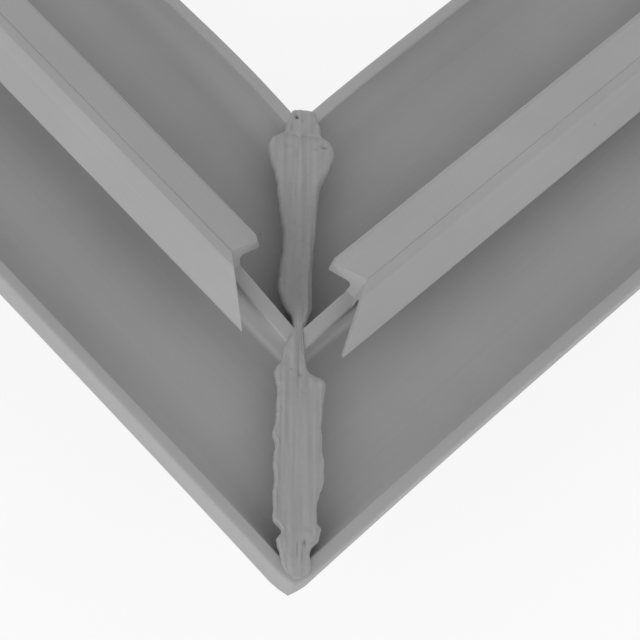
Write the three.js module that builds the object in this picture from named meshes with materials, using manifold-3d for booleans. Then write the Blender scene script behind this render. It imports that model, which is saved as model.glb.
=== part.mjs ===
// Refrigerator door gasket: a welded rectangular loop of soft grey PVC profile, with a flexible magnet
// strip in each side. Millimetres, +Z up. It lies on its sealing face, with the push-in dart on top.
// The origin is the centre of the loop, on the floor.
import * as THREE from 'three';
import { mergeVertices } from 'three/addons/utils/BufferGeometryUtils.js';
import Module from 'manifold-3d';

const wasm = await Module();
wasm.setup();

// The loop, over its outer edges
const LOOP_WIDTH = 520;
const LOOP_LENGTH = 760;

// The section. Across it, plus is towards the middle of the loop and 0 is the section's centre line.
const OUTER_REACH = 16;
const INNER_REACH = 16;
const WEB_THICK = 1.0;
const EDGE_ROUND = 0.65;
const LIP_WIDTH = 1.15;
const OUTER_LIP_RISE = 2.1;
const INNER_LIP_RISE = 2.95;
const LIP_FILLET_RUN = 3.1;

// Magnet strips and the sleeve around them
const MAGNET_WIDTH = 10;
const MAGNET_THICK = 2.8;
const MAGNET_CLEARANCE = 0.3;
const MAGNET_EDGE_ROUND = 0.4;
const MAGNET_SETBACK = 9;
const SLEEVE_WALL = 0.7;
const SLEEVE_ROUND = 0.6;

// Bellows between the sleeve and the web
const BELLOWS_WALL = 0.7;
const BELLOWS_HEIGHT = 7.1;
const BELLOWS_BULGE = 7.3;
const VENT_RADIUS = 1.5;
const SLEEVE_VENT_RADIUS = 1;

// Dart: a stem and an arrowhead with a wide inner barb and a steep outer barb
const STEM_THICK = 1.5;
const STEM_OFFSET = -0.25;
const DART_RISE = 6.6;
const NOSE_OFFSET = -0.95;
const NOSE_WIDTH = 0.95;
const OUTER_BARB_REACH = 4.05;
const OUTER_BARB_RISE = 4.2;
const INNER_BARB_REACH = 3.3;
const INNER_BARB_RISE = 4.9;
const BARB_END = 0.75;
const BARB_END_LEAN = 0.45;
const BARB_ROOT_DROP = 0.9;

// The notch in the dart at each corner, measured along a side from the corner of the centre line
const NOTCH_ON_SHORT_SIDES = 9.1;
const NOTCH_ON_LONG_SIDES = 7;
const SPIKE_RUN = 5.9;
const STEM_RISE_AT_NOTCH = 4.8;
const STEM_RISE_AT_CORNER = 2.9;

// Weld flash along each mitre. A station is its place along the mitre from the corner of the centre
// line, plus towards the middle of the loop, then how far the flash spreads to the left and right.
const FLASH_RISE = 2.75;
const FLASH_CAP_THICK = 0.9;
const FLASH_ROOT_THICK = 1.7;
const INNER_FLASH = [
  [1.6, 0.5, 0.7],
  [3.1, 1.1, 1.35],
  [5.4, 1.8, 1.4],
  [8.9, 1.35, 1.6],
  [12.3, 1.45, 1.8],
  [15.8, 1.9, 2.35],
  [18.4, 2.6, 3.25],
  [19.8, 2.2, 2.5],
  [20.4, 0.7, 1.3],
];
const OUTER_FLASH = [
  [-20.4, 1.2, 1.1],
  [-19.5, 1.8, 1.9],
  [-18.6, 1.5, 2.0],
  [-16.8, 2.2, 1.8],
  [-13.4, 2.15, 2.45],
  [-9.1, 2.2, 2.25],
  [-5.2, 1.8, 2.4],
  [-3.7, 2.1, 2.3],
  [-2.4, 1.6, 0.9],
  [-0.4, 1.0, 0.6],
];

const CURVE_STEPS = 8;
const ROUND_STEPS = 3;
const OVERLAP = 0.3;

const GASKET_GREY = 0x9a9a99;
const MAGNET_BROWN = 0x3a3532;

const centreHalfWidth = LOOP_WIDTH / 2 - OUTER_REACH;
const centreHalfLength = LOOP_LENGTH / 2 - OUTER_REACH;
const sleeveCavityHeight = MAGNET_THICK + 2 * MAGNET_CLEARANCE;
const sleeveCavityHalf = MAGNET_WIDTH / 2 + MAGNET_CLEARANCE;
const sleeveHalf = sleeveCavityHalf + SLEEVE_WALL;
const sleeveHeight = sleeveCavityHeight + 2 * SLEEVE_WALL;
const bellowsRadius = BELLOWS_HEIGHT / 2;
const bellowsCentre = BELLOWS_BULGE - bellowsRadius;
const bellowsLevel = sleeveHeight + bellowsRadius;
const webBottom = sleeveHeight + BELLOWS_HEIGHT;
const webTop = webBottom + WEB_THICK;
const stemInner = STEM_OFFSET + STEM_THICK / 2;
const stemOuter = STEM_OFFSET - STEM_THICK / 2;
const noseInner = NOSE_OFFSET + NOSE_WIDTH / 2;
const noseOuter = NOSE_OFFSET - NOSE_WIDTH / 2;

// The four sides. Each is drawn along X with the middle of the loop towards +Y, then turned into place.
const SIDES = [
  { name: 'lower', turn: 0, half: centreHalfWidth, inset: centreHalfLength, notch: NOTCH_ON_SHORT_SIDES },
  { name: 'right', turn: 1, half: centreHalfLength, inset: centreHalfWidth, notch: NOTCH_ON_LONG_SIDES },
  { name: 'upper', turn: 2, half: centreHalfWidth, inset: centreHalfLength, notch: NOTCH_ON_SHORT_SIDES },
  { name: 'left', turn: 3, half: centreHalfLength, inset: centreHalfWidth, notch: NOTCH_ON_LONG_SIDES },
];

// A closed mesh as a solid that can be joined and cut
function toSolid(geometry) {
  const bare = geometry.clone();
  bare.deleteAttribute('normal');
  bare.deleteAttribute('uv');
  const merged = mergeVertices(bare, 1e-4);
  return new wasm.Manifold(new wasm.Mesh({
    numProp: 3,
    vertProperties: new Float32Array(merged.attributes.position.array),
    triVerts: new Uint32Array(merged.index.array),
  }));
}

function toGeometry(solid) {
  const mesh = solid.getMesh();
  const geometry = new THREE.BufferGeometry();
  geometry.setAttribute('position', new THREE.BufferAttribute(new Float32Array(mesh.vertProperties), 3));
  geometry.setIndex(new THREE.BufferAttribute(new Uint32Array(mesh.triVerts), 1));
  geometry.computeVertexNormals();
  return geometry;
}

// A section swept round the loop with mitred corners: a four-sided lathe about the middle of the loop,
// whose four columns of points are moved out to the corners
function mitredRing(section) {
  const axisDistance = 100;
  const points = section.getPoints(CURVE_STEPS).map((p) => new THREE.Vector2(axisDistance - p.x, p.y));
  points.reverse();
  points.push(points[0].clone());
  const geometry = new THREE.LatheGeometry(points, 4, Math.PI / 4);
  geometry.rotateX(Math.PI / 2);
  const position = geometry.attributes.position;
  for (let i = 0; i < position.count; i += 1) {
    const x = position.getX(i);
    const y = position.getY(i);
    const inward = axisDistance - Math.hypot(x, y);
    position.setX(i, Math.sign(x) * (centreHalfWidth - inward));
    position.setY(i, Math.sign(y) * (centreHalfLength - inward));
  }
  return toSolid(geometry);
}

// A section extruded along X, centred: the section's x becomes Y and its y becomes Z
function alongSide(section, length) {
  const geometry = new THREE.ExtrudeGeometry(section, {
    depth: length,
    bevelEnabled: false,
    curveSegments: CURVE_STEPS,
  });
  geometry.translate(0, 0, -length / 2);
  const axes = new THREE.Matrix4().makeBasis(
    new THREE.Vector3(0, 1, 0),
    new THREE.Vector3(0, 0, 1),
    new THREE.Vector3(1, 0, 0),
  );
  return geometry.applyMatrix4(axes);
}

// An outline in plan, extruded from one height to another
function upright(outline, bottom, top) {
  const geometry = new THREE.ExtrudeGeometry(outline, {
    depth: top - bottom,
    bevelEnabled: false,
    curveSegments: CURVE_STEPS,
  });
  return geometry.translate(0, 0, bottom);
}

function polygon(points) {
  return new THREE.Shape(points.map(([x, y]) => new THREE.Vector2(x, y)));
}

function roundedBar(halfWidth, bottom, top, round) {
  const shape = new THREE.Shape();
  shape.moveTo(-halfWidth + round, bottom);
  shape.lineTo(halfWidth - round, bottom);
  shape.absarc(halfWidth - round, bottom + round, round, -Math.PI / 2, 0);
  shape.lineTo(halfWidth, top - round);
  shape.absarc(halfWidth - round, top - round, round, 0, Math.PI / 2);
  shape.lineTo(-halfWidth + round, top);
  shape.absarc(-halfWidth + round, top - round, round, Math.PI / 2, Math.PI);
  shape.lineTo(-halfWidth, bottom + round);
  shape.absarc(-halfWidth + round, bottom + round, round, Math.PI, Math.PI * 1.5);
  return shape;
}

// Moves a geometry drawn for the lower side to its own side of the loop
function placeOnSide(geometry, side) {
  geometry.translate(0, -side.inset, 0);
  return geometry.rotateZ(side.turn * Math.PI / 2);
}

// Web with its two lips: flat underneath, with rounded lower edges and a hollow fillet up to each lip
function webSection() {
  const shape = new THREE.Shape();
  const filletArc = (rise) => {
    const radius = (LIP_FILLET_RUN ** 2 + rise ** 2) / (2 * rise);
    return { radius, sweep: Math.asin(LIP_FILLET_RUN / radius) };
  };
  const outer = filletArc(OUTER_LIP_RISE);
  const inner = filletArc(INNER_LIP_RISE);
  const down = -Math.PI / 2;
  const outerFoot = -OUTER_REACH + LIP_WIDTH + LIP_FILLET_RUN;
  const innerFoot = INNER_REACH - LIP_WIDTH - LIP_FILLET_RUN;
  shape.moveTo(-OUTER_REACH + EDGE_ROUND, webBottom);
  shape.lineTo(INNER_REACH - EDGE_ROUND, webBottom);
  shape.absarc(INNER_REACH - EDGE_ROUND, webBottom + EDGE_ROUND, EDGE_ROUND, down, 0);
  shape.lineTo(INNER_REACH, webTop + INNER_LIP_RISE);
  shape.lineTo(INNER_REACH - LIP_WIDTH, webTop + INNER_LIP_RISE);
  shape.absarc(innerFoot, webTop + inner.radius, inner.radius, down + inner.sweep, down, true);
  shape.lineTo(outerFoot, webTop);
  shape.absarc(outerFoot, webTop + outer.radius, outer.radius, down, down - outer.sweep, true);
  shape.lineTo(-OUTER_REACH, webTop + OUTER_LIP_RISE);
  shape.lineTo(-OUTER_REACH, webBottom + EDGE_ROUND);
  shape.absarc(-OUTER_REACH + EDGE_ROUND, webBottom + EDGE_ROUND, EDGE_ROUND, Math.PI, Math.PI * 1.5);
  return shape;
}

// A flat-topped oval: the hollow of the bellows, or its outer skin when grown by the wall
function bellowsSection(grow) {
  const radius = bellowsRadius + grow;
  const shape = new THREE.Shape();
  shape.moveTo(-bellowsCentre, bellowsLevel - radius);
  shape.lineTo(bellowsCentre, bellowsLevel - radius);
  shape.absarc(bellowsCentre, bellowsLevel, radius, -Math.PI / 2, Math.PI / 2);
  shape.lineTo(-bellowsCentre, bellowsLevel + radius);
  shape.absarc(-bellowsCentre, bellowsLevel, radius, Math.PI / 2, Math.PI * 1.5);
  return shape;
}

// Arrowhead, with the barbs' undersides curving down into the stem
function arrowheadSection() {
  const outerTip = -OUTER_BARB_REACH;
  const innerTip = INNER_BARB_REACH;
  const outerUnder = webTop + OUTER_BARB_RISE - BARB_END;
  const innerUnder = webTop + INNER_BARB_RISE - BARB_END;
  const shape = new THREE.Shape();
  shape.moveTo(noseInner, webTop + DART_RISE);
  shape.lineTo(noseOuter, webTop + DART_RISE);
  shape.lineTo(outerTip, webTop + OUTER_BARB_RISE);
  shape.lineTo(outerTip + BARB_END_LEAN, outerUnder);
  shape.quadraticCurveTo(stemOuter, outerUnder, stemOuter, outerUnder - BARB_ROOT_DROP);
  shape.lineTo(stemInner, innerUnder - BARB_ROOT_DROP);
  shape.quadraticCurveTo(stemInner, innerUnder, innerTip - BARB_END_LEAN, innerUnder);
  shape.lineTo(innerTip, webTop + INNER_BARB_RISE);
  return shape;
}

// One side's arrowhead: its inner half ends square and its outer barb ends in a long slanted point
function arrowhead(side) {
  const squareEnd = side.half - side.notch;
  const clearOfBarbs = 1;
  const inside = INNER_BARB_REACH + clearOfBarbs;
  const outside = OUTER_BARB_REACH + clearOfBarbs;
  const slant = SPIKE_RUN / (OUTER_BARB_REACH + noseInner);
  const pointEnd = squareEnd + slant * (outside + noseInner);
  const plan = polygon([
    [squareEnd, inside],
    [-squareEnd, inside],
    [-squareEnd, noseInner],
    [-pointEnd, -outside],
    [pointEnd, -outside],
    [squareEnd, noseInner],
  ]);
  const bar = toSolid(placeOnSide(alongSide(arrowheadSection(), 2 * pointEnd), side));
  return bar.intersect(toSolid(placeOnSide(upright(plan, webTop, webTop + DART_RISE + clearOfBarbs), side)));
}

// One side's stem, seen from the side: full height under the arrowhead, trimmed down to the corners
function stem(side) {
  const squareEnd = side.half - side.notch;
  const end = side.half - stemOuter;
  const outline = polygon([
    [-end, webTop - OVERLAP],
    [end, webTop - OVERLAP],
    [end, webTop + STEM_RISE_AT_CORNER],
    [side.half, webTop + STEM_RISE_AT_CORNER],
    [squareEnd, webTop + STEM_RISE_AT_NOTCH],
    [-squareEnd, webTop + STEM_RISE_AT_NOTCH],
    [-side.half, webTop + STEM_RISE_AT_CORNER],
    [-end, webTop + STEM_RISE_AT_CORNER],
  ]);
  const geometry = new THREE.ExtrudeGeometry(outline, { depth: STEM_THICK, bevelEnabled: false });
  geometry.rotateX(Math.PI / 2);
  geometry.translate(0, stemInner, 0);
  return toSolid(placeOnSide(geometry, side));
}

// The cap of one stretch of weld flash: a smooth outline down one edge and back up the other
function flashCap(stations) {
  const edge = [
    ...stations.map(([along, left]) => new THREE.Vector2(-left, along)),
    ...stations.map(([along, , right]) => new THREE.Vector2(right, along)).reverse(),
  ];
  const outline = new THREE.Shape([
    ...new THREE.SplineCurve(edge.slice(0, stations.length)).getPoints(stations.length * ROUND_STEPS),
    ...new THREE.SplineCurve(edge.slice(stations.length)).getPoints(stations.length * ROUND_STEPS),
  ]);
  return upright(outline, webTop + FLASH_RISE - FLASH_CAP_THICK, webTop + FLASH_RISE);
}

// The flash at one corner: two caps on a thin wall that follows the mitre
function flash(corner) {
  const place = (geometry) => {
    geometry.rotateZ(Math.PI / 4 + corner * Math.PI / 2);
    const east = corner < 2 ? 1 : -1;
    const north = corner === 1 || corner === 2 ? 1 : -1;
    return toSolid(geometry.translate(east * centreHalfWidth, north * centreHalfLength, 0));
  };
  const half = FLASH_ROOT_THICK / 2;
  const nearEnd = OUTER_FLASH[0][0];
  const farEnd = INNER_FLASH[INNER_FLASH.length - 1][0];
  const wall = polygon([[-half, nearEnd], [half, nearEnd], [half, farEnd], [-half, farEnd]]);
  const wallTop = webTop + FLASH_RISE - FLASH_CAP_THICK / 2;
  return place(upright(wall, webTop - OVERLAP, wallTop))
    .add(place(flashCap(INNER_FLASH)))
    .add(place(flashCap(OUTER_FLASH)));
}

// Small air holes at the middle of a side: through the bellows' inner wall, and from the bellows
// down into the magnet sleeve
function vents(side) {
  const wallHole = new THREE.CylinderGeometry(VENT_RADIUS, VENT_RADIUS, bellowsRadius * 2, 16);
  wallHole.translate(0, BELLOWS_BULGE, 0);
  wallHole.translate(0, 0, bellowsLevel);
  const floorHole = new THREE.CylinderGeometry(SLEEVE_VENT_RADIUS, SLEEVE_VENT_RADIUS, SLEEVE_WALL * 3, 12);
  floorHole.rotateX(Math.PI / 2);
  floorHole.translate(0, 0, sleeveHeight - SLEEVE_WALL / 2);
  return toSolid(placeOnSide(wallHole, side)).add(toSolid(placeOnSide(floorHole, side)));
}

function gasketSolid() {
  let solid = mitredRing(roundedBar(sleeveHalf, 0, sleeveHeight + OVERLAP, SLEEVE_ROUND))
    .add(mitredRing(bellowsSection(BELLOWS_WALL)))
    .add(mitredRing(webSection()))
    .subtract(mitredRing(bellowsSection(0)))
    .subtract(mitredRing(roundedBar(sleeveCavityHalf, SLEEVE_WALL, SLEEVE_WALL + sleeveCavityHeight,
      MAGNET_EDGE_ROUND)));
  SIDES.forEach((side, corner) => {
    solid = solid.add(stem(side)).add(arrowhead(side)).add(flash(corner)).subtract(vents(side));
  });
  return solid;
}

function magnetStrip(side) {
  const bottom = SLEEVE_WALL + MAGNET_CLEARANCE;
  const section = roundedBar(MAGNET_WIDTH / 2, bottom, bottom + MAGNET_THICK, MAGNET_EDGE_ROUND);
  return placeOnSide(alongSide(section, 2 * (side.half - MAGNET_SETBACK)), side);
}

const gasketMaterial = new THREE.MeshStandardMaterial({ color: GASKET_GREY, roughness: 0.6, metalness: 0 });
const magnetMaterial = new THREE.MeshStandardMaterial({ color: MAGNET_BROWN, roughness: 0.75, metalness: 0 });

const group = new THREE.Group();
const gasket = new THREE.Mesh(toGeometry(gasketSolid()), gasketMaterial);
gasket.name = 'gasket';
group.add(gasket);
for (const side of SIDES) {
  const strip = new THREE.Mesh(magnetStrip(side), magnetMaterial);
  strip.name = `magnet_strip_${side.name}`;
  group.add(strip);
}

export default group;
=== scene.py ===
"""Looks of the refrigerator door gasket: the soft PVC loop with its dart, lips and weld flash, the magnet
strips inside it, the floor, the lights and the camera. Lengths are in millimetres until a mesh is made."""
import math

import bmesh
import bpy
from mathutils import Matrix, Vector, noise


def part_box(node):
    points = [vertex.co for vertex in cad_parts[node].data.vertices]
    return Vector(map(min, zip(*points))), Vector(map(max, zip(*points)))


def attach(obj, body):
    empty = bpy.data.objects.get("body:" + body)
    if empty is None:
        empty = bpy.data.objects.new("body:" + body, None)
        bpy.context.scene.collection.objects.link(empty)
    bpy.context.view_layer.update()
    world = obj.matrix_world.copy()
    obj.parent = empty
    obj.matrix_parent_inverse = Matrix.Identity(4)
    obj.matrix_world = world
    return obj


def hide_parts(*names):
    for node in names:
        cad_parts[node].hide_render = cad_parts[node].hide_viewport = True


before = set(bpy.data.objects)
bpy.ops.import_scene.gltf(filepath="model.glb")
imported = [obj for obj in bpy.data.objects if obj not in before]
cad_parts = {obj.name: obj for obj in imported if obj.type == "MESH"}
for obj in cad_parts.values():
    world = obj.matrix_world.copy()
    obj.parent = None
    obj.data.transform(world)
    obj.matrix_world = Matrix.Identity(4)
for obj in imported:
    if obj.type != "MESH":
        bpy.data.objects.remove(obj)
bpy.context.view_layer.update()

MM = 0.001

# The section. Across it, plus is towards the middle of the loop and 0 is the section's centre line.
# Heights in the dart, lips and flash are counted from the top of the web.
REACH = 16.0
WEB_THICK = 1.0
EDGE_ROUND = 0.65
LIP_WIDTH = 1.15
OUTER_LIP_RISE = 2.1
INNER_LIP_RISE = 2.95
LIP_FILLET_RUN = 3.1
LIP_TOP_ROUND = 0.28
LIP_TOP_INNER_SHARE = 0.8
SLEEVE_HALF = 6.0
SLEEVE_HEIGHT = 4.8
SLEEVE_ROUND = 0.6
SLEEVE_MIDDLE_HALF = 2.0
BELLOWS_CENTRE = 3.75
BELLOWS_RADIUS = 4.25
BELLOWS_WALL = 0.7

DART_RISE = 6.6
STEM_INNER = 0.5
STEM_OUTER = -1.0
STEM_FOOT_ROUND = 0.6
STEM_RINGS = (1.2, 1.9)
STEM_BELOW_HEAD = 3.0
NOSE_INNER = -0.475
NOSE_OUTER = -1.425
INNER_TIP = (3.3, 4.9)
INNER_TIP_UNDER = (2.9, 4.15)
OUTER_TIP = (-4.05, 4.2)
OUTER_TIP_UNDER = (-3.6, 3.45)
INNER_CROTCH = 5.0
OUTER_CROTCH = 5.6
CROTCH_ROUND = 0.38
TIP_ROUND = 0.2
RIM_BEAD = ((0.07, 0.04), (0.1, -0.02), (0.14, 0.0))
CREASE_DEPTH = 0.09
CREASE_HALF = 0.11
CREASE_SHOULDER = 0.45
NOSE_ROUND = 0.25
OUTER_UNDERSIDE_SHARE = 0.6

# The notch in the dart at each corner
NOTCH_ON_SHORT_SIDES = 9.1
NOTCH_ON_LONG_SIDES = 7.0
SPIKE_SLANT = 1.415
CUT_LEAN = 0.333
CUT_CHAMFER = 0.12
STEM_RISE_AT_NOTCH = 4.15
STEM_RISE_AT_CORNER = 2.9
STEM_EDGE_ROUND = 0.2
STEM_TOP_SHARE = 0.6
CUT_CHAMFER_SHARE = 0.8
RING_SPACING = 0.1

# How the cut rounds the inner barb's tip: the amount, then (start, reach) across the section and upwards
TIP_CUT_ROUND = 0.75
TIP_CUT_ACROSS = (2.6, 0.7)
TIP_CUT_UP = (4.2, 0.7)

# Where the web's points lie next to the notch
PLAIN_SETBACK = 1.6
PLAIN_START = 1.0
PLAIN_SLANT_INNER = 0.95
PLAIN_SLANT_OUTER = 0.3
STEM_MARGIN = 0.1

# Where the gasket lies
box_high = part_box("gasket")[1]
WEB_TOP = box_high.z / MM - DART_RISE
WEB_BOTTOM = WEB_TOP - WEB_THICK
HALF_WIDTH = box_high.x / MM - REACH
HALF_LENGTH = box_high.y / MM - REACH
BELLOWS_LEVEL = WEB_BOTTOM + BELLOWS_WALL - BELLOWS_RADIUS

# Each side is drawn along X with the middle of the loop towards +Y, then turned into place
SIDES = (
    {"name": "lower", "turn": 0, "half": HALF_WIDTH, "inset": HALF_LENGTH, "notch": NOTCH_ON_SHORT_SIDES},
    {"name": "right", "turn": 1, "half": HALF_LENGTH, "inset": HALF_WIDTH, "notch": NOTCH_ON_LONG_SIDES},
    {"name": "upper", "turn": 2, "half": HALF_WIDTH, "inset": HALF_LENGTH, "notch": NOTCH_ON_SHORT_SIDES},
    {"name": "left", "turn": 3, "half": HALF_LENGTH, "inset": HALF_WIDTH, "notch": NOTCH_ON_LONG_SIDES},
)


def lerp(a, b, t):
    return a + (b - a) * t


def lerp_point(a, b, t):
    return lerp(a[0], b[0], t), lerp(a[1], b[1], t)


def smooth(t):
    t = min(max(t, 0.0), 1.0)
    return t * t * (3 - 2 * t)


def wave(x, y, z, seed):
    """Smooth noise from -1 to 1."""
    return noise.noise(Vector((x + 17.3 * seed, y - 5.1 * seed, z + 3.7 * seed)))


# Outlines, and how many steps their runs have

WEB_STEPS = 6
FILLET_STEPS = 8
EDGE_STEPS = 4
BELLOWS_STEPS = 12
STEM_STEPS = 4
CROTCH_STEPS = 6
UNDERSIDE_STEPS = 3
TOP_STEPS = 4
ROUND_STEPS = 3
INSET_FADE_POINTS = 3


def arc(centre, radius, start, end, steps):
    angles = [math.radians(lerp(start, end, i / steps)) for i in range(steps + 1)]
    return [(centre[0] + radius * math.cos(a), centre[1] + radius * math.sin(a)) for a in angles]


def line(start, end, steps):
    """Points after start, up to and with end."""
    return [lerp_point(start, end, i / steps) for i in range(1, steps + 1)]


def rounded(before, corner, after, radius, steps=ROUND_STEPS):
    """Arc that rounds the corner between two straight runs."""
    a = (Vector(before) - Vector(corner)).normalized()
    b = (Vector(after) - Vector(corner)).normalized()
    reach = radius / math.tan(a.angle(b) / 2)
    start = Vector(corner) + a * reach
    end = Vector(corner) + b * reach
    points = []
    for i in range(steps + 1):
        t = i / steps
        points.append(tuple(start * (1 - t) ** 2 + Vector(corner) * 2 * t * (1 - t) + end * t ** 2))
    return points


def half_body(side, lip_rise):
    """Web, lip, edge, underside, bellows and sleeve of one half, from the stem's foot down to the floor."""
    lip = side * (REACH - LIP_WIDTH)
    edge = side * REACH
    fillet_foot = side * (REACH - LIP_WIDTH - LIP_FILLET_RUN)
    top = WEB_TOP + lip_rise
    radius = (LIP_FILLET_RUN ** 2 + lip_rise ** 2) / (2 * lip_rise)
    sweep = math.degrees(math.asin(LIP_FILLET_RUN / radius))
    foot = (side * STEM_FOOT_ROUND + (STEM_INNER if side > 0 else STEM_OUTER), WEB_TOP)
    points = line(foot, (fillet_foot, WEB_TOP), WEB_STEPS)
    fillet = arc((fillet_foot, WEB_TOP + radius), radius, -90, -90 + side * sweep, FILLET_STEPS)
    points += fillet[1:-1]
    points += rounded(fillet[-2], (lip, top), (edge, top), LIP_TOP_ROUND * LIP_TOP_INNER_SHARE)
    points += line(points[-1], (lerp(lip, edge, 0.5), top), 1)
    points += rounded((lip, top), (edge, top), (edge, WEB_TOP), LIP_TOP_ROUND)
    points += line(points[-1], (edge, WEB_BOTTOM + EDGE_ROUND), EDGE_STEPS)
    points += rounded((edge, top), (edge, WEB_BOTTOM), (0, WEB_BOTTOM), EDGE_ROUND, EDGE_STEPS)[1:]
    joint = math.degrees(math.asin((WEB_BOTTOM - BELLOWS_LEVEL) / BELLOWS_RADIUS))
    to_sleeve = math.degrees(math.acos((SLEEVE_HALF - BELLOWS_CENTRE) / BELLOWS_RADIUS))
    bellows = arc((BELLOWS_CENTRE, BELLOWS_LEVEL), BELLOWS_RADIUS, joint, -to_sleeve, BELLOWS_STEPS)
    bellows = [(side * c, z) for c, z in bellows]
    points += line(points[-1], bellows[0], EDGE_STEPS)
    points += bellows[1:]
    points += rounded((side * SLEEVE_HALF, SLEEVE_HEIGHT), (side * SLEEVE_HALF, 0), (0, 0), SLEEVE_ROUND)
    points += line(points[-1], (side * SLEEVE_MIDDLE_HALF, 0), 1)
    return points


def body_outline():
    """From the stem's outer foot round the underside to its inner foot."""
    outer = half_body(-1, OUTER_LIP_RISE)
    inner = half_body(1, INNER_LIP_RISE)
    return outer + inner[::-1]


def lifted(points):
    return [(c, WEB_TOP + z) for c, z in points]


def stem_side(c, side):
    """Foot fillet and side of the stem, from the web up."""
    foot = (c + side * STEM_FOOT_ROUND, STEM_FOOT_ROUND)
    turn = (-90, -180) if side > 0 else (-90, 0)
    return lifted(arc(foot, STEM_FOOT_ROUND, *turn, STEM_STEPS) + [(c, rise) for rise in STEM_RINGS])


def head_outline():
    """The arrowhead's inner half, from the stem to the crease, and its outer half, back to the stem."""
    crotch = (STEM_INNER, INNER_CROTCH)
    inner = [(STEM_INNER, STEM_RISE_AT_NOTCH - STEM_EDGE_ROUND)]
    inner += rounded((STEM_INNER, STEM_BELOW_HEAD), crotch, INNER_TIP_UNDER, CROTCH_ROUND, CROTCH_STEPS)
    inner += line(inner[-1], INNER_TIP_UNDER, UNDERSIDE_STEPS)[:-1]
    inner += rounded(crotch, INNER_TIP_UNDER, INNER_TIP, TIP_ROUND)
    inner += rounded(INNER_TIP_UNDER, INNER_TIP, (NOSE_INNER, DART_RISE), TIP_ROUND)
    for share, bead in RIM_BEAD:
        c, rise = lerp_point(INNER_TIP, (NOSE_INNER, DART_RISE), share)
        inner.append((c, rise + bead))
    shoulder = (NOSE_INNER + CREASE_HALF, DART_RISE - CREASE_HALF * CREASE_SHOULDER)
    inner += line(inner[-1], shoulder, TOP_STEPS)
    inner += [(NOSE_INNER, DART_RISE - CREASE_DEPTH)]
    crotch = (STEM_OUTER, OUTER_CROTCH)
    outer = [(NOSE_INNER, DART_RISE - CREASE_DEPTH), (NOSE_INNER - CREASE_HALF, DART_RISE)]
    outer += rounded((NOSE_INNER, DART_RISE), (NOSE_OUTER, DART_RISE), OUTER_TIP, NOSE_ROUND)
    outer += line(outer[-1], OUTER_TIP, TOP_STEPS)[:-1]
    outer += rounded((NOSE_OUTER, DART_RISE), OUTER_TIP, OUTER_TIP_UNDER, TIP_ROUND)
    outer += rounded(OUTER_TIP, OUTER_TIP_UNDER, crotch, TIP_ROUND)
    outer += line(outer[-1], lerp_point(OUTER_TIP_UNDER, crotch, OUTER_UNDERSIDE_SHARE), 2)[:-1]
    outer += rounded(OUTER_TIP_UNDER, crotch, (STEM_OUTER, STEM_BELOW_HEAD), CROTCH_ROUND, CROTCH_STEPS)
    outer += [(STEM_OUTER, STEM_RISE_AT_NOTCH - STEM_EDGE_ROUND)]
    return inner, outer


def inset_outline(points, amount):
    """The arrowhead drawn in a little, fading out where it meets the stem, for a soft edge at the cut."""
    last = len(points) - 1
    out = []
    for i, p in enumerate(points):
        run = Vector(points[min(i + 1, last)]) - Vector(points[max(i - 1, 0)])
        inward = Vector((-run.y, run.x)).normalized()
        weight = smooth(min(i, last - i) / INSET_FADE_POINTS)
        out.append(tuple(Vector(p) + inward * amount * weight))
    return out


HEAD_INNER, HEAD_OUTER = head_outline()
HEAD = HEAD_INNER + HEAD_OUTER[1:]
HEAD_INSET = inset_outline(HEAD, CUT_CHAMFER)
CREASE_AT = len(HEAD_INNER) - 1
BODY = body_outline()
STEM_UP = stem_side(STEM_INNER, 1)
STEM_DOWN = stem_side(STEM_OUTER, -1)[::-1]


def stem_top(rise):
    """The trimmed top of the stem, in two halves that meet under the arrowhead's crease."""
    r = STEM_EDGE_ROUND
    inner = arc((STEM_INNER - r, rise - r), r, 0, 90, STEM_STEPS)
    inner += [(lerp(STEM_INNER, NOSE_INNER, STEM_TOP_SHARE), rise)]
    outer = [(NOSE_INNER, rise)] + arc((STEM_OUTER + r, rise - r), r, 90, 180, STEM_STEPS)
    return inner, outer


def cut_place(c, rise, notch):
    """Where the notch's cut crosses the section at a point, measured from the corner along the side."""
    square = notch - CUT_LEAN * (DART_RISE - rise)
    across = smooth((c - TIP_CUT_ACROSS[0]) / TIP_CUT_ACROSS[1])
    upwards = smooth((rise - TIP_CUT_UP[0]) / TIP_CUT_UP[1])
    tip_round = TIP_CUT_ROUND * across * upwards
    return square - SPIKE_SLANT * max(0.0, NOSE_INNER - c) + tip_round


def plain_place(c, rise, notch):
    """Where the rest of the section has its ring of points next to the cut."""
    if STEM_OUTER - STEM_MARGIN < c < STEM_INNER + STEM_MARGIN and rise > 0:
        return cut_place(c, rise, notch)
    slant = PLAIN_SLANT_INNER if c > 0 else PLAIN_SLANT_OUTER
    return notch - PLAIN_SETBACK + slant * max(abs(c) - PLAIN_START, 0.0)


CORNER_STEPS = 26


def corner_rings(notch):
    """Rings from the mitre to the notch, where the stem is trimmed."""
    inner, outer = stem_top(STEM_RISE_AT_NOTCH)
    top = inner + outer
    rings = []
    for i in range(CORNER_STEPS + 1):
        t = i / CORNER_STEPS
        ring = []
        for c, rise in top:
            place = lerp(c, cut_place(c, rise, notch), t)
            share = min(max(place / notch, 0.0), 1.0)
            lower = (STEM_RISE_AT_NOTCH - STEM_RISE_AT_CORNER) * (1 - share)
            ring.append((place, c, WEB_TOP + rise - lower))
        parts = [[(lerp(c, plain_place(c, z - WEB_TOP, notch), t), c, z) for c, z in points]
                 for points in (STEM_UP, STEM_DOWN, BODY)]
        rings.append((parts[0], ring, parts[1], parts[2]))
    return rings


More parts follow.
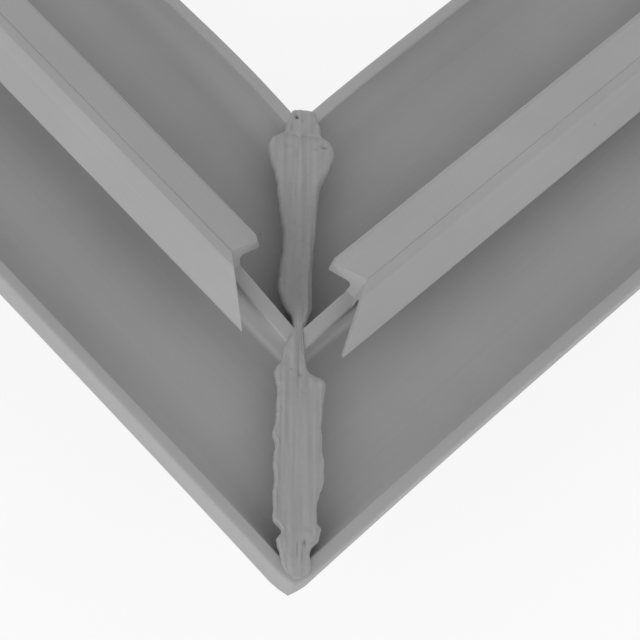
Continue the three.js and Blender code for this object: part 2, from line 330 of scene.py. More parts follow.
def full_rings(notch):
    """The two rings beyond the cut: the arrowhead's soft edge, then its full outline."""
    rings = []
    soft_edge = (HEAD_INSET, 0.0, 0.0)
    outline = (HEAD, CUT_CHAMFER * CUT_CHAMFER_SHARE, RING_SPACING)
    for head, chamfer, shift in (soft_edge, outline):
        top = [(cut_place(c, rise, notch) + chamfer, c, WEB_TOP + rise) for c, rise in head]
        parts = [[(plain_place(c, z - WEB_TOP, notch) + shift, c, z) for c, z in points]
                 for points in (STEM_UP, STEM_DOWN, BODY)]
        rings.append((parts[0], top, parts[1], parts[2]))
    return rings


# Where the rings lie from the notch to the middle of a side, as shares of the way
SHARES = (0.012, 0.025, 0.045, 0.07, 0.1, 0.13, 0.17, 0.21, 0.26, 0.31, 0.37, 0.43, 0.5, 0.57, 0.64, 0.71,
          0.78, 0.85, 0.92)

# How the soft PVC waves, flares, sags and is drawn in. A start is where an effect begins, and a reach is how
# far on it is full or has faded. The lips have the whole effect, and the bellows below the web has none.
LIP_START = 6.0
LIP_REACH = 9.0
STILL_START = 1.0
STILL_REACH = 3.0
SIDE_SPACING = 900.0
MITRE_REACH = 22.0
WAVE_UP = 0.16
WAVE_ACROSS = 0.14
FLARE = 0.3
FLARE_REACH = 11.0
BLUNT = 0.42
BLUNT_START = 14.0
BLUNT_REACH = 2.2
SAG = 1.35
SAG_START = 20.0
SAG_START_REACH = 25.0
SAG_END = 110.0
SAG_END_REACH = 80.0
SAG_ACROSS_START = 5.0
SAG_ACROSS_REACH = 10.0
SAG_POWER = 1.5
PINCH = 0.5
PINCH_REACH = 7.0
SLIDE_REACH = 6.0

# Waves of the outer and the inner lip: (length, layer, seed)
WAVES_UP = ((38.0, 1.1, 1), (31.0, 4.2, 2))
WAVES_ACROSS = ((55.0, 7.7, 3), (47.0, 2.9, 4))


def lip_waves(x, waves, outer, inner):
    """Waves at a place along the loop, by how much of each lip a point has."""
    values = [wave(x / length, layer, 0, seed) for length, layer, seed in waves]
    return outer * values[0] + inner * values[1]


def softened(side, along, s, c, z):
    """Small waves and sags of the soft lips and web, as (inward shift, upward shift)."""
    turn = side["turn"]
    outer = smooth((-c - LIP_START) / LIP_REACH)
    inner = smooth((c - LIP_START) / LIP_REACH)
    down = smooth((WEB_BOTTOM - STILL_START - z) / STILL_REACH)
    x = along + SIDE_SPACING * turn
    near = smooth((s - c) / MITRE_REACH)
    up = WAVE_UP * near * lip_waves(x, WAVES_UP, outer, inner)
    shift = WAVE_ACROSS * near * lip_waves(x, WAVES_ACROSS, outer, inner)
    shift -= FLARE * outer * math.exp(-max(s + REACH, 0.0) / FLARE_REACH)
    shift += BLUNT * smooth((-s - BLUNT_START) / BLUNT_REACH) * smooth((-c - BLUNT_START) / BLUNT_REACH)
    if turn == 0 and along > 0:
        sag = inner * smooth((s - SAG_START) / SAG_START_REACH) * (1 - smooth((s - SAG_END) / SAG_END_REACH))
        up -= SAG * sag * smooth((c - SAG_ACROSS_START) / SAG_ACROSS_REACH) ** SAG_POWER
    shift -= PINCH * inner * math.exp(-max(s - REACH, 0.0) / PINCH_REACH)
    return shift * (1 - down), up * (1 - down)


def placed(side, along, c, z):
    """A point of a side, in metres, at its place in the loop."""
    point = Vector((along, c - side["inset"], z)) * MM
    point.rotate(Matrix.Rotation(side["turn"] * math.pi / 2, 3, "Z"))
    return point


def side_rows(bm, side):
    """Rows of vertices from each mitre to its cut, next to the cut, and beyond it; then the middle row."""
    half, notch = side["half"], side["notch"]

    def vertices(points, mirrored):
        out = []
        for s, c, z in points:
            along = half - s if mirrored else s - half
            shift, up = softened(side, along, s, c, z)
            slide = shift * (1 - smooth((s - c) / SLIDE_REACH))
            along += -slide if mirrored else slide
            out.append(bm.verts.new(placed(side, along, c + shift, z + up)))
        return out

    def row(parts, mirrored):
        return [vertices(points, mirrored) for points in parts]

    near = corner_rings(notch)
    inset, full = full_rings(notch)
    rows = []
    for mirrored in (False, True):
        bare = [row(parts, mirrored) for parts in near]
        up, top, down, body = bare[-1]
        edge = [up, [top[0], *vertices(inset[1][1:-1], mirrored), top[-1]], down, body]
        beyond = [row(full, mirrored)]
        for share in SHARES:
            parts = [[(lerp(s, half, share), c, z) for s, c, z in part] for part in full]
            beyond.append(row(parts, mirrored))
        rows.append((bare, edge, beyond))
    middle = row([[(half, c, z) for s, c, z in part] for part in full], False)
    return rows, middle


def bridge(bm, a, b):
    """Faces between two rows of vertices."""
    first, second = sum(a, []), sum(b, [])
    for k in range(len(first)):
        j = (k + 1) % len(first)
        corners = [first[k], second[k], second[j], first[j]]
        unique = [v for i, v in enumerate(corners) if v not in corners[:i]]
        if len(unique) > 2:
            bm.faces.new(unique)


def cap_cut(bm, bare, edge):
    """The cut face of the arrowhead, in two flat parts that meet under the crease."""
    top, head = bare[1], edge[1]
    under = len(top) // 2
    bm.faces.new([*head[:CREASE_AT + 1], *reversed(top[1:under + 1])])
    bm.faces.new([*head[CREASE_AT:], *reversed(top[under:-1])])


MERGE_DISTANCE = 0.004
LEAST_EDGE = 0.002
PROFILE_SHARP_ANGLE = 38
FLASH_SHARP_ANGLE = 60


def build_profile():
    bm = bmesh.new()
    for side in SIDES:
        rows, middle = side_rows(bm, side)
        for bare, edge, beyond in rows:
            for a, b in zip(bare, bare[1:]):
                bridge(bm, a, b)
            cap_cut(bm, bare[-1], edge)
            for a, b in zip([edge] + beyond, beyond + [middle]):
                bridge(bm, a, b)
    bmesh.ops.remove_doubles(bm, verts=bm.verts, dist=MERGE_DISTANCE * MM)
    bmesh.ops.dissolve_degenerate(bm, edges=bm.edges, dist=LEAST_EDGE * MM)
    bmesh.ops.recalc_face_normals(bm, faces=bm.faces)
    return finish_mesh(bm, "gasket_profile", PROFILE_SHARP_ANGLE)


def finish_mesh(bm, name, sharp_angle):
    mesh = bpy.data.meshes.new(name)
    bm.to_mesh(mesh)
    bm.free()
    for polygon in mesh.polygons:
        polygon.use_smooth = True
    mesh.set_sharp_from_angle(angle=math.radians(sharp_angle))
    obj = bpy.data.objects.new(name, mesh)
    bpy.context.scene.collection.objects.link(obj)
    return obj


# Weld flash. A station is (place along the mitre, plus towards the middle of the loop; left edge; right
# edge; top; how high the cap's underside is over the web; 1 where it is a low bead without a cap).
FLASH = (
    (-22.05, -0.3, 0.45, 1.9, 0.2, 1),
    (-21.9, -0.5, 0.8, 2.2, 0.2, 0.6),
    (-21.5, -0.8, 1.25, 2.3, 0.2, 0.2),
    (-20.9, -1.1, 1.45, 2.42, 0.2, 0),
    (-20.3, -1.2, 1.4, 2.52, 0.4, 0),
    (-19.5, -1.37, 1.3, 2.6, 1.3, 0.2),
    (-18.95, -1.62, 1.6, 2.65, 1.6, 0),
    (-18.5, -1.65, 1.98, 2.7, 1.1, 0),
    (-17.85, -1.25, 2.1, 2.75, 1.1, 0),
    (-17.4, -1.5, 2.18, 2.75, 1.1, 0),
    (-16.9, -1.95, 1.87, 2.75, 1.1, 0),
    (-15.5, -2.0, 1.84, 2.75, 1.1, 0),
    (-14.65, -2.0, 1.95, 2.75, 1.1, 0),
    (-12.9, -1.9, 2.43, 2.75, 1.1, 0),
    (-11.3, -2.03, 2.48, 2.75, 1.1, 0),
    (-9.9, -1.85, 2.3, 2.75, 1.1, 0),
    (-8.8, -2.06, 2.27, 2.75, 1.1, 0),
    (-7.4, -1.8, 2.25, 2.75, 1.1, 0),
    (-5.9, -1.75, 2.31, 2.75, 1.1, 0),
    (-4.6, -1.72, 2.51, 2.75, 1.1, 0),
    (-3.9, -1.85, 2.52, 2.8, 1.1, 0),
    (-3.5, -1.95, 2.3, 2.8, 1.1, 0),
    (-3.2, -2.1, 1.35, 2.85, 1.1, 0),
    (-2.7, -1.95, 0.95, 2.95, 1.1, 0),
    (-2.03, -1.45, 0.78, 3.05, 1.1, 0),
    (-1.0, -1.36, 0.62, 3.15, 1.1, 0),
    (0.07, -0.87, 0.51, 3.2, 1.1, 0),
    (1.4, -0.49, 0.7, 3.1, 1.1, 0),
    (2.3, -0.6, 0.99, 3.0, 1.1, 0),
    (3.1, -1.1, 1.33, 2.85, 1.1, 0),
    (4.3, -1.61, 1.38, 2.75, 1.1, 0),
    (5.4, -1.82, 1.38, 2.7, 1.1, 0),
    (6.8, -1.66, 1.4, 2.65, 1.1, 0),
    (8.95, -1.41, 1.56, 2.6, 1.1, 0),
    (10.6, -1.35, 1.65, 2.6, 1.1, 0),
    (12.4, -1.53, 1.75, 2.6, 1.1, 0),
    (14.9, -1.86, 1.93, 2.65, 1.1, 0),
    (16.05, -1.99, 2.29, 2.7, 1.1, 0),
    (17.2, -2.34, 2.76, 2.7, 1.1, 0),
    (18.35, -2.66, 3.16, 2.75, 1.1, 0),
    (19.1, -2.8, 3.25, 2.8, 1.1, 0),
    (19.7, -2.75, 3.15, 2.8, 1.1, 0),
    (20.2, -2.5, 2.85, 2.8, 1.1, 0),
    (20.55, -1.9, 2.3, 2.78, 1.1, 0),
    (20.8, -1.35, 1.95, 3.1, 0.8, 0),
    (21.2, -1.35, 2.0, 3.14, 0.2, 0),
    (21.7, -1.2, 1.85, 3.12, 0.1, 0),
    (22.3, -1.0, 1.65, 3.06, 0.1, 0),
    (22.8, -0.75, 1.45, 3.05, 0.1, 0),
    (23.1, -0.6, 1.3, 2.95, 0.1, 0.3),
    (23.22, -0.5, 1.2, 2.7, 0.1, 1),
)

# Dents (minus) and lumps (plus) in the flash: (place along, place across, reach along, reach across, depth)
DENTS = (
    (19.9, 0.23, 0.6, 0.15, -0.16),
    (21.9, 0.23, 0.5, 0.13, -0.14),
    (22.3, -0.3, 0.2, 0.16, -0.5),
    (22.1, 0.6, 0.7, 0.12, -0.1),
    (21.2, -0.75, 0.6, 0.25, -0.12),
    (21.3, 1.3, 0.6, 0.25, -0.12),
    (19.3, -1.0, 0.22, 0.55, -0.16),
    (19.3, 1.55, 0.18, 0.4, -0.16),
    (19.6, 2.35, 0.16, 0.45, -0.22),
    (20.15, -2.0, 0.3, 0.5, 0.14),
    (20.15, 2.35, 0.25, 0.5, 0.16),
    (18.6, -0.2, 0.9, 0.16, -0.16),
    (15.0, -0.2, 3.0, 0.16, -0.12),
    (-1.2, 0.05, 1.5, 0.16, -0.12),
    (-3.1, 0.1, 1.0, 0.15, -0.15),
    (-2.4, 0.85, 0.5, 0.2, 0.12),
    (-3.9, 1.9, 0.3, 0.5, 0.1),
    (-18.7, 0.75, 0.55, 0.18, -0.26),
    (-17.5, 1.0, 0.3, 0.5, -0.14),
    (-17.9, 1.75, 0.6, 0.18, 0.14),
    (-19.4, 0.1, 0.9, 0.09, -0.14),
    (-19.6, 0.5, 0.9, 0.08, -0.12),
    (-19.0, -0.9, 0.8, 0.2, 0.08),
)

# Fine ribs and broad lumps of the flash: (height, scale across, scale along, layer, seed)
RIPPLES = (
    (0.05, 2.6, 0.16, 0, 3),
    (0.03, 6.0, 0.25, 0, 5),
    (0.1, 0.7, 0.45, 6, 0),
    (0.05, 2.4, 1.9, 9, 0),
)

# Ragged edges of the flash: (depth, scale along, layer)
LEFT_RAGGED = ((0.08, 1.3, 0), (0.07, 3.7, 2))
RIGHT_RAGGED = ((0.08, 1.2, 5), (0.07, 3.5, 7))
PHOTOGRAPHED_ROUGHNESS = 1
OTHER_ROUGHNESS = 2.6
FLASH_SEED = 11
SEED_SPACING = 9

# Ridges along the cap, by place across it from 0 to 1: (height, place, reach)
ROLL = ((0.15, 0.88, 0.1), (-0.07, 0.68, 0.1))
RIMS = ((0.1, 0.04, 0.05), (0.1, 0.96, 0.05))
ROLL_START = 1.0
ROLL_START_REACH = 3.0
ROLL_END = 15.0
ROLL_END_REACH = 4.0
RIM_START = 12.0
RIM_REACH = 4.0

# The cap and its turned-down edges
FLASH_STEP = 0.13
FLASH_EDGE = 0.5
CROWN_STEPS = 30
CROWN_INSET = 0.25
CROWN_FALL = 0.1
TURNED_REACH = 0.3
TURNED_SHARE = 0.95
TURNED_ANGLES = (255, 225, 195, 165, 135, 105)
UNDER_DROP = 0.1
UNDER_RISE = 0.05
SLOPE_LIMIT = 3

# The root, which spreads near the ends, and its foot, which rises at the inner corner
FLASH_ROOT_HALF = 0.7
ROOT_SPREAD = 0.7
ROOT_SPREAD_START = 20.5
ROOT_SPREAD_REACH = 1.2
ROOT_SHARE = 0.85
LEAST_ROOT_HEIGHT = 0.3
FOOT_LEVEL = -0.5
FOOT_RISE = 2.2
FOOT_RISE_START = 22.2
FOOT_RISE_REACH = 0.9

# The low bead at the ends
BEAD_SPREAD = 1.15
BEAD_POWER = 0.38
BEAD_DEPTH = 0.4


def flash_values(m):
    """The flash's station at a place along the mitre, on a smooth curve through the list."""
    k = 0
    while k < len(FLASH) - 2 and FLASH[k + 1][0] < m:
        k += 1
    before = FLASH[max(k - 1, 0)]
    a, b = FLASH[k], FLASH[k + 1]
    after = FLASH[min(k + 2, len(FLASH) - 1)]
    span = b[0] - a[0]
    t = (m - a[0]) / span
    out = []
    for i in range(1, 6):
        slope_a = (b[i] - before[i]) / (b[0] - before[0]) * span
        slope_b = (after[i] - a[i]) / (after[0] - a[0]) * span
        limit = SLOPE_LIMIT * abs(b[i] - a[i])
        slope_a = min(max(slope_a, -limit), limit)
        slope_b = min(max(slope_b, -limit), limit)
        out.append((2 * t ** 3 - 3 * t ** 2 + 1) * a[i] + (t ** 3 - 2 * t ** 2 + t) * slope_a
                   + (-2 * t ** 3 + 3 * t ** 2) * b[i] + (t ** 3 - t ** 2) * slope_b)
    return out


def flash_lumps(m, n, seed):
    """Dents, lumps and fine ribs along the flash."""
    height = 0.0
    for at_m, at_n, reach_m, reach_n, depth in DENTS:
        height += depth * math.exp(-((m - at_m) / reach_m) ** 2 - ((n - at_n) / reach_n) ** 2)
    for rise, across, along, layer, offset in RIPPLES:
        height += rise * wave(n * across, m * along, layer, seed + offset)
    return height


def ragged(m, waves, seed):
    return sum(depth * wave(m * scale, layer, 0, seed) for depth, scale, layer in waves)


def ridges(t, rows):
    return sum(height * math.exp(-((t - place) / reach) ** 2) for height, place, reach in rows)


def root_side(root, edge, foot, under):
    """One side of the root and of the cap's underside, from the foot up."""
    return [(root, foot), (root, lerp(foot, under, 0.5)), (root, under - UNDER_DROP),
            (lerp(root, edge, 0.5), under + UNDER_RISE)]


def turned_edge(edge, side, brow):
    """A turned-down edge of the cap, from its underside to its crown."""
    points = []
    for angle in TURNED_ANGLES:
        a = math.radians(angle)
        inward = TURNED_REACH + TURNED_REACH * math.cos(a)
        points.append((edge + side * inward, brow + FLASH_EDGE * math.sin(a) * TURNED_SHARE))
    return points


def flash_ring(m, seed, rough):
    """One section of the flash: a cap with turned-down edges on a thin root."""
    left, right, top, under, low = flash_values(m)
    left += rough * ragged(m, LEFT_RAGGED, seed)
    right += rough * ragged(m, RIGHT_RAGGED, seed)
    spread = ROOT_SPREAD * smooth((abs(m) - ROOT_SPREAD_START) / ROOT_SPREAD_REACH)
    root = min(FLASH_ROOT_HALF + spread, -left * ROOT_SHARE, right * ROOT_SHARE)
    foot = FOOT_LEVEL + FOOT_RISE * smooth((m - FOOT_RISE_START) / FOOT_RISE_REACH)
    under = max(under, foot + LEAST_ROOT_HEIGHT)
    brow = top - FLASH_EDGE
    points = root_side(-root, left + FLASH_EDGE, foot, under) + turned_edge(left, 1, brow)
    roll_on = smooth((m - ROLL_START) / ROLL_START_REACH) * (1 - smooth((m - ROLL_END) / ROLL_END_REACH))
    rim_on = smooth((m - RIM_START) / RIM_REACH)
    for i in range(1, CROWN_STEPS):
        t = i / CROWN_STEPS
        n = lerp(left + CROWN_INSET, right - CROWN_INSET, t)
        crown = -CROWN_FALL * (2 * t - 1) ** 4
        rise = top + crown + ridges(t, ROLL) * roll_on + ridges(t, RIMS) * rim_on
        points.append((n, rise + flash_lumps(m, n, seed)))
    points += turned_edge(right, -1, brow)[::-1]
    points += root_side(root, right - FLASH_EDGE, foot, under)[::-1]
    if low > 0:
        last = len(points) - 1
        for i, (n, rise) in enumerate(points):
            a = math.pi * (i / last - 0.5)
            bead_n = lerp(left, right, 0.5) + (right - left) / 2 * BEAD_SPREAD * math.sin(a)
            fall = max(math.cos(a), 0.0) ** BEAD_POWER
            bead_rise = lerp(foot - BEAD_DEPTH, top, fall) + flash_lumps(m, bead_n, seed) * fall
            points[i] = (lerp(n, bead_n, low), lerp(rise, bead_rise, low))
    return points


def build_flash(corner):
    """Weld flash of one corner, from the outer corner to the inner one. Its own Y runs along the mitre."""
    bm = bmesh.new()
    first, last = FLASH[0][0], FLASH[-1][0]
    count = round((last - first) / FLASH_STEP)
    east = 1 if corner in (0, 1) else -1
    north = 1 if corner in (1, 2) else -1
    swapped = -1 if corner in (1, 3) else 1
    rough = PHOTOGRAPHED_ROUGHNESS if corner == 0 else OTHER_ROUGHNESS
    grid = []
    for i in range(count + 1):
        m = lerp(first, last, i / count)
        ring = flash_ring(m, FLASH_SEED + SEED_SPACING * corner, rough)
        grid.append([bm.verts.new(Vector((swapped * n, m, WEB_TOP + rise)) * MM) for n, rise in ring])
    for a, b in zip(grid, grid[1:]):
        for k in range(len(a)):
            j = (k + 1) % len(a)
            bm.faces.new((a[k], b[k], b[j], a[j]))
    bm.faces.new(grid[0])
    bm.faces.new(grid[-1])
    bmesh.ops.recalc_face_normals(bm, faces=bm.faces)
    obj = finish_mesh(bm, f"weld_flash_{corner + 1}", FLASH_SHARP_ANGLE)
    obj.location = (east * HALF_WIDTH * MM, north * HALF_LENGTH * MM, 0)
    obj.rotation_euler = (0, 0, math.pi / 4 + corner * math.pi / 2)
    return obj


# Materials

def new_material(name):
    material = bpy.data.materials.new(name)
    material.use_nodes = True
    nodes = material.node_tree.nodes
    nodes.clear()
    return material, nodes, material.node_tree.links


# The two looks of the PVC. The tones are shares of the base colour.
PVC_GREY = (0.335, 0.333, 0.33)
FLASH_TONE = 0.92
PROFILE_LOOK = {
    "roughness": 0.55,
    "line_share": 0.3,
    "tones": (0.95, 1.05),
    "line_height": 0.35,
    "bump": 0.25,
}
FLASH_LOOK = {
    "roughness": 0.5,
    "line_share": 0.7,
    "tones": (0.86, 1.12),
    "line_height": 1.0,
    "bump": 0.6,
}
PVC_SPECULAR = 0.35
TONE_RANGE = (0.3, 0.7)
MOTTLE_SCALE = 90
MOTTLE_DETAIL = 4
LINE_SCALE = 2600
LINE_STRETCH = 0.012
FLASH_LINE_SCALE = 2200
FLASH_LINE_STRETCH = (1.0, 0.04, 0.6)
LINE_DETAIL = 3
GRAIN_SCALE = 3200
GRAIN_DETAIL = 2
GRAIN_HEIGHT = 0.2
PVC_BUMP_DEPTH = 0.00006
SPECK_SCALE = 230
SPECK_LIMIT = 0.6
SPECK_SIZE = 0.03
SPECK_SHARE = 0.3
SPECK_TONE = 0.4

# Painted shade on the flash's inner run near the dart, where the lips and the dart shade it: (place along
# the mitre, share)
PAINTED_SHADE_TONE = 0.55
PAINTED_SHADE_REACH = 20.0
PAINTED_SHADE_RUN = ((0.5, 0.0), (3.5, 0.5), (10.0, 0.42), (17.0, 0.0))


def soft_pvc(name, base, look, along_mitre):
    """Matte grey soft PVC with faint lines along each side or along the mitre, mottling and a few specks;
    along the mitre, painted shade darkens the flash's inner run near the dart.
    """
    material, nodes, links = new_material(name)
    output = nodes.new("ShaderNodeOutputMaterial")
    shader = nodes.new("ShaderNodeBsdfPrincipled")
    shader.inputs["Roughness"].default_value = look["roughness"]
    shader.inputs["Specular IOR Level"].default_value = PVC_SPECULAR
    links.new(shader.outputs[0], output.inputs[0])
    coords = nodes.new("ShaderNodeTexCoord")
    split = nodes.new("ShaderNodeSeparateXYZ")
    links.new(coords.outputs["Object"], split.inputs[0])

    def maths(operation, a, b=None):
        node = nodes.new("ShaderNodeMath")
        node.operation = operation
        for socket, value in zip(node.inputs, (a, b)):
            if isinstance(value, (int, float)):
                socket.default_value = value
            elif value is not None:
                links.new(value, socket)
        return node.outputs[0]

    def clouds(scale, detail, stretch=(1, 1, 1)):
        mapping = nodes.new("ShaderNodeMapping")
        mapping.inputs["Scale"].default_value = stretch
        links.new(coords.outputs["Object"], mapping.inputs[0])
        texture = nodes.new("ShaderNodeTexNoise")
        texture.inputs["Scale"].default_value = scale
        texture.inputs["Detail"].default_value = detail
        links.new(mapping.outputs[0], texture.inputs["Vector"])
        return texture.outputs["Fac"]

    if along_mitre:
        lines = clouds(FLASH_LINE_SCALE, LINE_DETAIL, FLASH_LINE_STRETCH)
    else:
        beyond_x = maths("SUBTRACT", maths("ABSOLUTE", split.outputs[0]), HALF_WIDTH * MM)
        beyond_y = maths("SUBTRACT", maths("ABSOLUTE", split.outputs[1]), HALF_LENGTH * MM)
        choice = nodes.new("ShaderNodeMix")
        links.new(maths("GREATER_THAN", beyond_y, beyond_x), choice.inputs["Factor"])
        links.new(clouds(LINE_SCALE, LINE_DETAIL, (1.0, LINE_STRETCH, 1.0)), choice.inputs["A"])
        links.new(clouds(LINE_SCALE, LINE_DETAIL, (LINE_STRETCH, 1.0, 1.0)), choice.inputs["B"])
        lines = choice.outputs[0]

    mottled = maths("MULTIPLY", clouds(MOTTLE_SCALE, MOTTLE_DETAIL), 1 - look["line_share"])
    blended = maths("ADD", mottled, maths("MULTIPLY", lines, look["line_share"]))
    tone = nodes.new("ShaderNodeValToRGB")
    for stop, position, share in zip(tone.color_ramp.elements, TONE_RANGE, look["tones"]):
        stop.position = position
        stop.color = (*[v * share for v in base], 1)
    links.new(blended, tone.inputs[0])

    specks = nodes.new("ShaderNodeTexVoronoi")
    specks.inputs["Scale"].default_value = SPECK_SCALE
    links.new(coords.outputs["Object"], specks.inputs["Vector"])
    picked = nodes.new("ShaderNodeSeparateColor")
    links.new(specks.outputs["Color"], picked.inputs[0])
    size = maths("MULTIPLY", maths("GREATER_THAN", picked.outputs[0], SPECK_LIMIT), SPECK_SIZE)
    rare = maths("LESS_THAN", specks.outputs["Distance"], size)
    speck_mix = nodes.new("ShaderNodeMix")
    speck_mix.data_type = "RGBA"
    links.new(maths("MULTIPLY", rare, SPECK_SHARE), speck_mix.inputs[0])
    links.new(tone.outputs[0], speck_mix.inputs[6])
    speck_mix.inputs[7].default_value = (*[v * SPECK_TONE for v in base], 1)
    if along_mitre:
        # Painted shade: the flash's inner run near the dart is darkened, where the lips and the dart shade
        # it.
        shade_run = nodes.new("ShaderNodeValToRGB")
        shade_run.color_ramp.interpolation = "EASE"
        stops = shade_run.color_ramp.elements
        while len(stops) < len(PAINTED_SHADE_RUN):
            stops.new(0.5)
        for stop, (place_along, share) in zip(stops, PAINTED_SHADE_RUN):
            stop.position = place_along / PAINTED_SHADE_REACH
            stop.color = (share, share, share, 1)
        links.new(maths("DIVIDE", split.outputs[1], PAINTED_SHADE_REACH * MM), shade_run.inputs[0])
        painted_shade = nodes.new("ShaderNodeMix")
        painted_shade.data_type = "RGBA"
        links.new(shade_run.outputs[0], painted_shade.inputs[0])
        links.new(speck_mix.outputs[2], painted_shade.inputs[6])
        painted_shade.inputs[7].default_value = (*[v * PAINTED_SHADE_TONE for v in base], 1)
        links.new(painted_shade.outputs[2], shader.inputs["Base Color"])
    else:
        links.new(speck_mix.outputs[2], shader.inputs["Base Color"])

    grain = maths("MULTIPLY", clouds(GRAIN_SCALE, GRAIN_DETAIL), GRAIN_HEIGHT)
    height = maths("ADD", maths("MULTIPLY", lines, look["line_height"]), grain)
    bump = nodes.new("ShaderNodeBump")
    bump.inputs["Strength"].default_value = look["bump"]
    bump.inputs["Distance"].default_value = PVC_BUMP_DEPTH
    links.new(height, bump.inputs["Height"])
    links.new(bump.outputs[0], shader.inputs["Normal"])
    return material


FERRITE_TONES = ((0.026, 0.022, 0.019), (0.055, 0.046, 0.041))
FERRITE_ROUGHNESS = 0.75
FERRITE_GRAIN_SCALE = 900
FERRITE_GRAIN_DETAIL = 5
FERRITE_BUMP = 0.2
FERRITE_BUMP_DEPTH = 0.0001


def ferrite(name):
    """Dark bonded ferrite with a fine dusty grain."""
    material, nodes, links = new_material(name)
    output = nodes.new("ShaderNodeOutputMaterial")
    shader = nodes.new("ShaderNodeBsdfPrincipled")
    shader.inputs["Roughness"].default_value = FERRITE_ROUGHNESS
    links.new(shader.outputs[0], output.inputs[0])
    coords = nodes.new("ShaderNodeTexCoord")
    grain = nodes.new("ShaderNodeTexNoise")
    grain.inputs["Scale"].default_value = FERRITE_GRAIN_SCALE
    grain.inputs["Detail"].default_value = FERRITE_GRAIN_DETAIL
    links.new(coords.outputs["Object"], grain.inputs["Vector"])
    tone = nodes.new("ShaderNodeValToRGB")
    for stop, colour in zip(tone.color_ramp.elements, FERRITE_TONES):
        stop.color = (*colour, 1)
    links.new(grain.outputs["Fac"], tone.inputs[0])
    links.new(tone.outputs[0], shader.inputs["Base Color"])
    bump = nodes.new("ShaderNodeBump")
    bump.inputs["Strength"].default_value = FERRITE_BUMP
    bump.inputs["Distance"].default_value = FERRITE_BUMP_DEPTH
    links.new(grain.outputs["Fac"], bump.inputs["Height"])
    links.new(bump.outputs[0], shader.inputs["Normal"])
    return material


pvc = soft_pvc("soft_pvc", PVC_GREY, PROFILE_LOOK, False)
pvc_flash = soft_pvc("soft_pvc_weld", tuple(v * FLASH_TONE for v in PVC_GREY), FLASH_LOOK, True)
magnet = ferrite("ferrite")

profile = build_profile()
profile.data.materials.append(pvc)
flashes = [build_flash(corner) for corner in range(4)]
for flash in flashes:
    flash.data.materials.append(pvc_flash)
for piece in (profile, *flashes):
    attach(piece, "root")
    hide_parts("gasket")
for side in SIDES:
    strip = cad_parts[f"magnet_strip_{side['name']}"]
    strip.data.materials.clear()
    strip.data.materials.append(magnet)

# Floor

FLOOR_SIZE = 9.0
FLOOR_GAP = 0.05
FLOOR_SHADE = 0.87
FLOOR_WHITE_SHARE = 0.86

bpy.ops.mesh.primitive_plane_add(size=FLOOR_SIZE, location=(0, 0, -FLOOR_GAP * MM))
floor = bpy.context.active_object
floor.name = "floor"


def pale_floor():
    """Pale matte floor that shows nearly white to the camera and in reflections, and keeps the shadow."""
    material, nodes, links = new_material("pale_floor")
    output = nodes.new("ShaderNodeOutputMaterial")
    diffuse = nodes.new("ShaderNodeBsdfDiffuse")
    diffuse.inputs["Color"].default_value = (FLOOR_SHADE, FLOOR_SHADE, FLOOR_SHADE, 1)
    white = nodes.new("ShaderNodeEmission")
    white.inputs["Strength"].default_value = 1.0
    path = nodes.new("ShaderNodeLightPath")
    seen = nodes.new("ShaderNodeMath")
    seen.operation = "MAXIMUM"
    links.new(path.outputs["Is Camera Ray"], seen.inputs[0])
    links.new(path.outputs["Is Glossy Ray"], seen.inputs[1])
    share = nodes.new("ShaderNodeMath")
    share.operation = "MULTIPLY"
    share.inputs[1].default_value = FLOOR_WHITE_SHARE
    links.new(seen.outputs[0], share.inputs[0])
    mix = nodes.new("ShaderNodeMixShader")
    links.new(share.outputs[0], mix.inputs[0])
    links.new(diffuse.outputs[0], mix.inputs[1])
    links.new(white.outputs[0], mix.inputs[2])
    links.new(mix.outputs[0], output.inputs[0])
    return material


floor.data.materials.append(pale_floor())

# World: soft light that is brighter low down and towards the front, and plain white to the camera

WORLD_LIGHT = ((0.0, 0.75), (0.3, 0.85), (0.57, 0.65), (0.8, 0.3), (1.0, 0.17))
WORLD_TINT = (0.985, 0.99, 1.0)
WORLD_STRENGTH = 1.7
FRONT_BOOST = 0.5


def make_world():
    world = bpy.data.worlds.new("studio")
    bpy.context.scene.world = world
    world.use_nodes = True
    nodes, links = world.node_tree.nodes, world.node_tree.links
    nodes.clear()
    output = nodes.new("ShaderNodeOutputWorld")
    coords = nodes.new("ShaderNodeTexCoord")
    split = nodes.new("ShaderNodeSeparateXYZ")
    links.new(coords.outputs["Generated"], split.inputs[0])
    height = nodes.new("ShaderNodeValToRGB")
    ramp = height.color_ramp.elements
    while len(ramp) < len(WORLD_LIGHT):
        ramp.new(0.5)
    for element, (position, level) in zip(ramp, WORLD_LIGHT):
        element.position = position
        element.color = (*[level * tint for tint in WORLD_TINT], 1)
    links.new(split.outputs[2], height.inputs[0])
    front = nodes.new("ShaderNodeMath")
    front.operation = "MINIMUM"
    front.inputs[1].default_value = 0.0
    links.new(split.outputs[1], front.inputs[0])
    squared = nodes.new("ShaderNodeMath")
    squared.operation = "MULTIPLY"
    links.new(front.outputs[0], squared.inputs[0])
    links.new(front.outputs[0], squared.inputs[1])
    strength = nodes.new("ShaderNodeMath")
    strength.operation = "MULTIPLY_ADD"
    strength.inputs[1].default_value = FRONT_BOOST * WORLD_STRENGTH
    strength.inputs[2].default_value = WORLD_STRENGTH
    links.new(squared.outputs[0], strength.inputs[0])
    soft = nodes.new("ShaderNodeBackground")
    links.new(height.outputs[0], soft.inputs["Color"])
    links.new(strength.outputs[0], soft.inputs["Strength"])
    plain = nodes.new("ShaderNodeBackground")
    plain.inputs["Color"].default_value = (1, 1, 1, 1)
    plain.inputs["Strength"].default_value = 1.0
    path = nodes.new("ShaderNodeLightPath")
    mix = nodes.new("ShaderNodeMixShader")
    links.new(path.outputs["Is Camera Ray"], mix.inputs[0])
    links.new(soft.outputs[0], mix.inputs[1])
    links.new(plain.outputs[0], mix.inputs[2])
    links.new(mix.outputs[0], output.inputs[0])


make_world()

# Camera. It looks at the photographed corner, the loop's +X, -Y one, from a quarter of a metre.

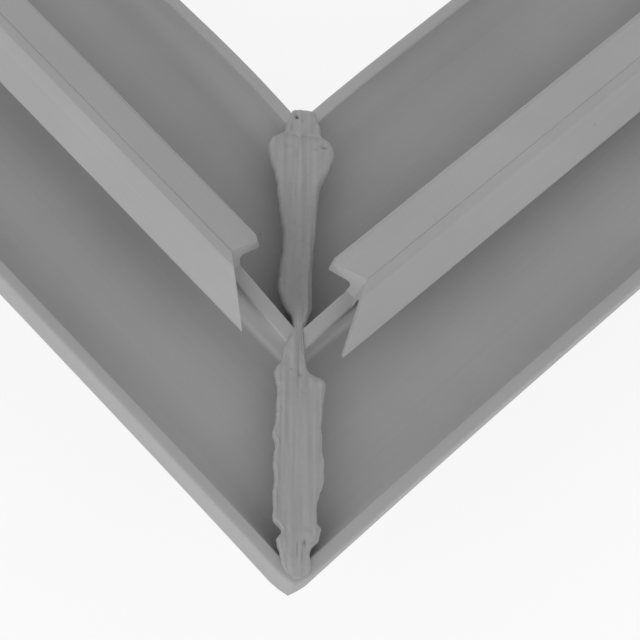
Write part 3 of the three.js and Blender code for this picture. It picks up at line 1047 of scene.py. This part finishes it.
CORNER = Vector((HALF_WIDTH, -HALF_LENGTH, WEB_TOP))
CAMERA_AZIMUTH = 20.99
CAMERA_ELEVATION = 61.26
CAMERA_ROLL = 27.13
CAMERA_DISTANCE = 250.0
CAMERA_RIGHT = 2.516
CAMERA_UP = 2.952
PIXELS_PER_MM = 11.358
FRAME_PIXELS = 640
SENSOR = 36.0
CLIP_START = 0.01
CLIP_END = 20.0


def camera_axes():
    """Right, up and back of the camera, with its roll."""
    a, e, roll = (math.radians(v) for v in (CAMERA_AZIMUTH, CAMERA_ELEVATION, CAMERA_ROLL))
    back = Vector((math.sin(a) * math.cos(e), -math.cos(a) * math.cos(e), math.sin(e)))
    level = Vector((math.cos(a), math.sin(a), 0))
    upright = back.cross(level)
    right = level * math.cos(roll) + upright * math.sin(roll)
    up = upright * math.cos(roll) - level * math.sin(roll)
    return right, up, back


right, up, back = camera_axes()
camera_data = bpy.data.cameras.new("camera")
camera_data.sensor_width = SENSOR
camera_data.lens = SENSOR * PIXELS_PER_MM * CAMERA_DISTANCE / FRAME_PIXELS
camera_data.clip_start = CLIP_START
camera_data.clip_end = CLIP_END
camera = bpy.data.objects.new("camera", camera_data)
bpy.context.scene.collection.objects.link(camera)
place = (CORNER + right * CAMERA_RIGHT + up * CAMERA_UP + back * CAMERA_DISTANCE) * MM
camera.matrix_world = Matrix.Translation(place) @ Matrix((right, up, back)).transposed().to_4x4()
bpy.context.scene.camera = camera


# Soft front lamp, in metres and watts
LAMP_PLACE = (0.0, -2.6, 1.0)
LAMP_TARGET = (0, 0, 0)
LAMP_SIZE = 1.4
LAMP_POWER = 5.0


def area_light(name, location, target, size, power):
    data = bpy.data.lights.new(name, "AREA")
    data.shape = "SQUARE"
    data.size = size
    data.energy = power
    lamp = bpy.data.objects.new(name, data)
    lamp.location = location
    lamp.rotation_euler = (Vector(target) - Vector(location)).to_track_quat("-Z", "Y").to_euler()
    bpy.context.scene.collection.objects.link(lamp)


area_light("front", LAMP_PLACE, LAMP_TARGET, LAMP_SIZE, LAMP_POWER)

bpy.context.scene.view_settings.view_transform = "Standard"
